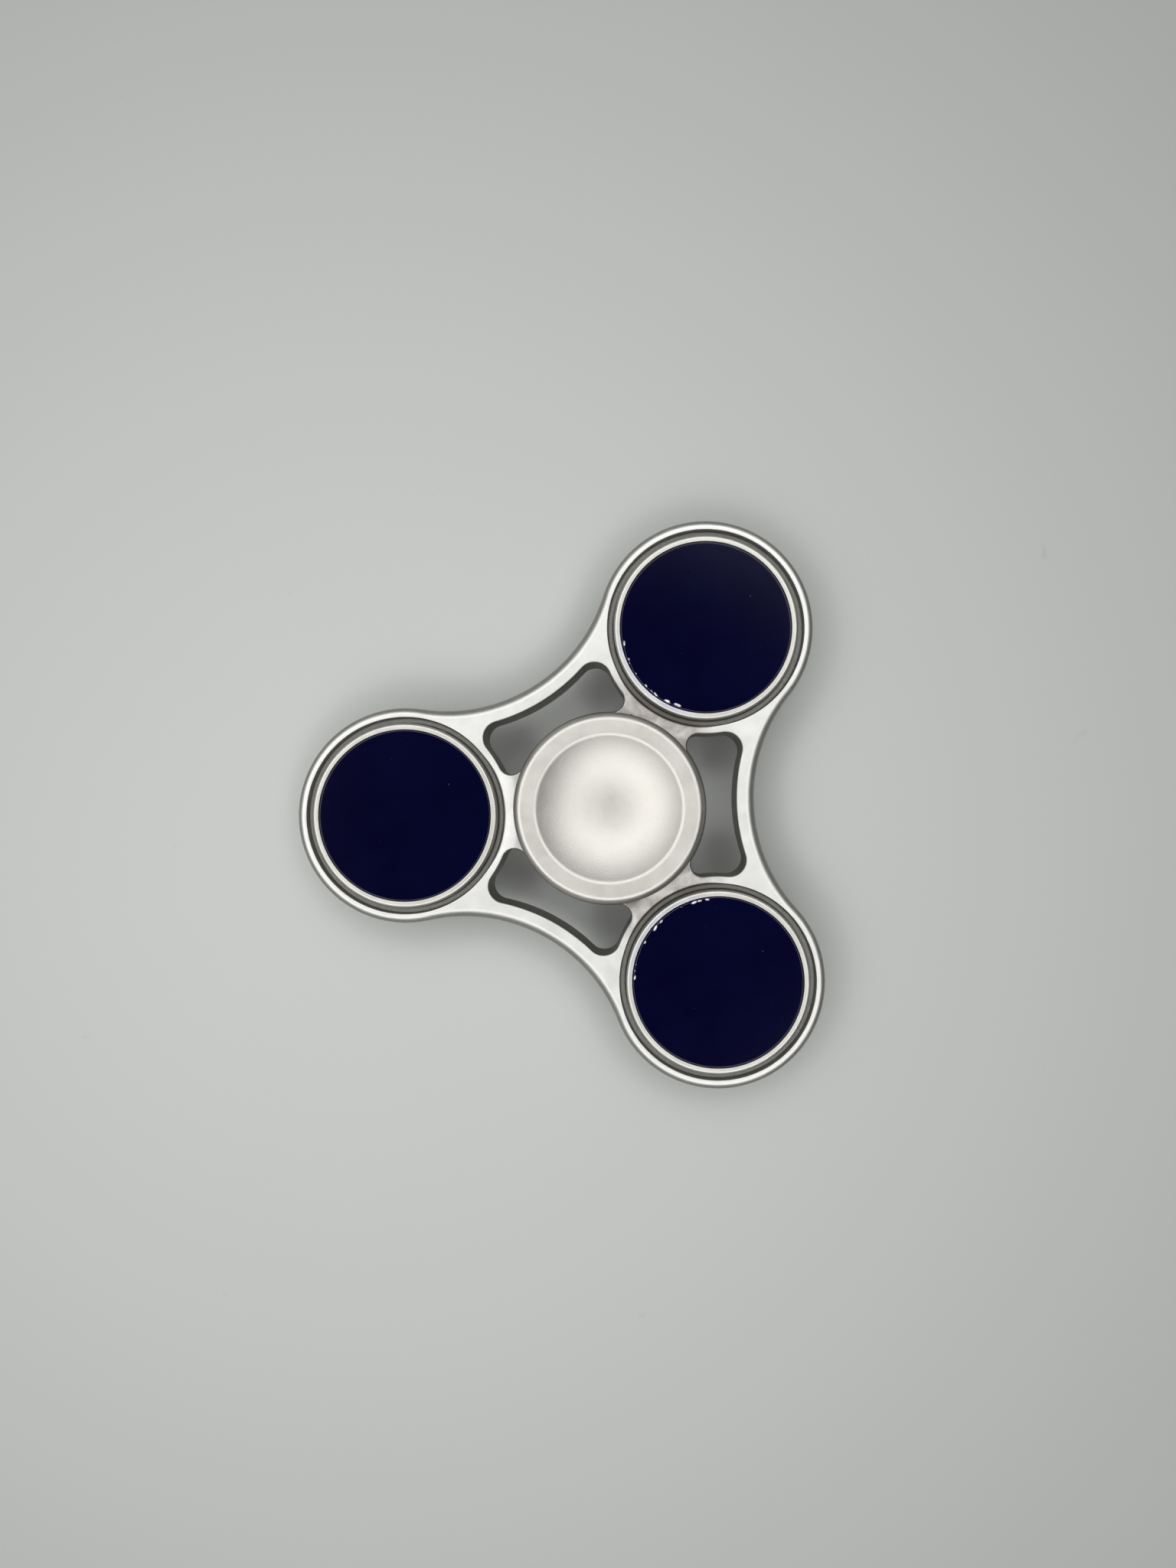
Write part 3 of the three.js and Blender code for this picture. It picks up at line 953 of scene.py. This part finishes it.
# A pool of light painted on the paper: where it is brightest, how far from there it has lost half of that,
# both in metres, and how suddenly.
PAPER_LIGHT_MIDDLE = (-0.033, -0.004, 0)
PAPER_LIGHT_HALF_FADE = 0.107
PAPER_LIGHT_FADE_POWER = 2.2


def paper():
    """Matt pale paper with a painted pool of light left of the middle, darker away from it, with faint fibres
    and specks.
    """
    look, n = new_material("pale_paper")
    where = n.place()
    clouds = n.noise(where, 14, 4, 0.6)
    fibre = n.noise(where, 1400, 3, 0.7)
    # The painted pool of light: pale paper near its middle, darker away from it.
    away = n.add("ShaderNodeVectorMath", {0: where, 1: PAPER_LIGHT_MIDDLE}, operation="DISTANCE")
    fades = n.math("DIVIDE", away.outputs["Value"], PAPER_LIGHT_HALF_FADE)
    painted_light = n.math("POWER", 0.5, n.math("POWER", fades, PAPER_LIGHT_FADE_POWER))
    base = n.mix(painted_light, colour(0.29, 0.298, 0.287), colour(0.545, 0.56, 0.54))
    base = n.mix(n.spread(clouds, 0.35, 0.7, 0, 0.08), base, colour(0.465, 0.48, 0.46))
    base = n.mix(n.spread(fibre, 0.72, 0.82, 0, 0.10), base, colour(0.37, 0.38, 0.365))
    specks = n.noise(where, 210, 2, 0.7, 0.4)
    base = n.mix(n.spread(specks, 0.74, 0.82, 0, 0.3), base, colour(0.30, 0.30, 0.28))
    n.surface(Base_Color=base, Roughness=0.85, Normal=n.bump(fibre, 1.5e-5))
    return look


# ---------------------------------------------------------------- Camera, light and floor

# The camera looks straight down. Its place is in mm and its turn about the vertical in degrees.
CAMERA_HEIGHT = FRAME_TOP + 141
CAMERA_BESIDE = (2.3, 0.4)
CAMERA_TURN = -2
CAMERA_SHIFT = (-0.026, 0.013)
CAMERA_LENS = 27.0


def add_camera():
    data = bpy.data.cameras.new("camera")
    data.lens = CAMERA_LENS
    data.sensor_width = 36
    data.shift_x, data.shift_y = CAMERA_SHIFT
    data.clip_start = 0.005
    camera = bpy.data.objects.new("camera", data)
    camera.location = Vector((*CAMERA_BESIDE, CAMERA_HEIGHT)) * MM
    camera.rotation_euler = (0, 0, radians(CAMERA_TURN))
    bpy.context.scene.collection.objects.link(camera)
    bpy.context.scene.camera = camera


# The studio is a soft ring of light round a dark gap overhead, above dim walls and a paler horizon.
# Angles are in degrees from the gap's middle, which leans from straight up by the first of GAP_LEAN,
# towards the second. The ring fades over RING_INNER_FADE towards the gap and RING_OUTER_FADE towards the
# walls. What lies behind it goes from the gap's light to the walls' between GAP_EDGE and WALLS_ANGLE.
GAP_LEAN = (3, 225)
GAP_EDGE = 16
GAP_LIGHT = 0.04
RING_ANGLE = 28.5
RING_LIGHT = 4.4
RING_INNER_FADE = 7
RING_OUTER_FADE = 10.4
RING_OUTER_POWER = 1.2
WALLS_ANGLE = 50
WALL_LIGHT = 0.1
HORIZON = (76, 90)
HORIZON_LIGHT = 0.5

# One side is dimmed to a small share of its light. Dimming starts and ends at these cosines of the angle
# to its middle.
DIM_TOWARDS = -15
DIM_SIDE = (0.43, 0.62)
DIM_SHARE = 0.06


def add_light():
    """The studio as the world's background, so that nothing but soft light shows in the metal."""
    world = bpy.data.worlds.new("studio")
    world.use_nodes = True
    bpy.context.scene.world = world
    n = Nodes(world.node_tree)
    direction = n.add("ShaderNodeTexCoord").outputs["Generated"]
    lean, towards = (radians(v) for v in GAP_LEAN)
    gap = (sin(lean) * cos(towards), sin(lean) * sin(towards), cos(lean))
    level = n.add("ShaderNodeVectorMath", {0: direction, 1: gap}, operation="DOT_PRODUCT").outputs["Value"]
    angle = n.math("DEGREES", n.math("ARCCOSINE", level))
    inside = n.math("MAXIMUM", n.math("SUBTRACT", RING_ANGLE, angle), 0)
    outside = n.math("MAXIMUM", n.math("SUBTRACT", angle, RING_ANGLE), 0)
    inner = n.math("POWER", n.math("DIVIDE", inside, RING_INNER_FADE), 2)
    outer = n.math("POWER", n.math("DIVIDE", outside, RING_OUTER_FADE), RING_OUTER_POWER)
    fade = n.math("EXPONENT", n.math("MULTIPLY", n.math("ADD", inner, outer), -1))
    ring = n.math("MULTIPLY", fade, RING_LIGHT)
    walls = n.spread(angle, GAP_EDGE, WALLS_ANGLE, GAP_LIGHT, WALL_LIGHT)
    horizon = n.spread(angle, *HORIZON, 0, HORIZON_LIGHT - WALL_LIGHT)
    light = n.math("ADD", ring, n.math("ADD", walls, horizon))
    side = (cos(radians(DIM_TOWARDS)), sin(radians(DIM_TOWARDS)), 0)
    across = n.add("ShaderNodeVectorMath", {0: direction, 1: side}, operation="DOT_PRODUCT").outputs["Value"]
    dimmed = n.math("MULTIPLY", light, n.spread(across, *DIM_SIDE, 1, DIM_SHARE))
    shown = n.add("ShaderNodeBackground", {"Color": colour(1, 1, 1), "Strength": dimmed})
    n.add("ShaderNodeOutputWorld", {"Surface": shown.outputs[0]})


FLOOR_REACH = 4


def add_floor():
    """A sheet of paper under the lower cap, far wider than a view of the spinner takes in."""
    low, _ = cad_box
    mesh = bpy.data.meshes.new("floor")
    shape = bmesh.new()
    bmesh.ops.create_grid(shape, x_segments=8, y_segments=8, size=FLOOR_REACH)
    shape.to_mesh(mesh)
    shape.free()
    mesh.materials.append(paper())
    floor = bpy.data.objects.new("floor", mesh)
    floor.location.z = low.z
    bpy.context.scene.collection.objects.link(floor)


add_camera()
add_light()
add_floor()
bpy.context.scene.view_settings.view_transform = "Standard"

frame_metal = blasted_metal(
    "frame_metal", tone=(0.71, 0.71, 0.69), roughness=0.435, grain=1.4e-6, smears_and_shade=0.9)
weight_metal = blasted_metal(
    "weight_metal", tone=(0.585, 0.58, 0.54), roughness=0.42, grain=8e-7, turned_lines=3e-7, film_and_sheen=0.8)
cap_metal = blasted_metal(
    "cap_metal", tone=(0.585, 0.568, 0.53), roughness=0.44, grain=4e-6, turned_lines=3e-7)
resin = navy_resin()
steel = bearing_steel()
strip = pressed_steel()

frame_piece(frame_metal)
rng = np.random.default_rng(7)
for index in (1, 2, 3):
    weight_piece(index, weight_metal)
    for side in ("top", "bottom"):
        inlay_piece(index, side, resin, rng)
for side in ("top", "bottom"):
    cap_piece(side, cap_metal)
stud_piece(steel)
for which in ("outer", "inner"):
    race_piece(which, steel)
cage_piece(strip)
for number in range(1, BALL_COUNT + 1):
    ball_piece(number, steel)

bpy.context.view_layer.update()
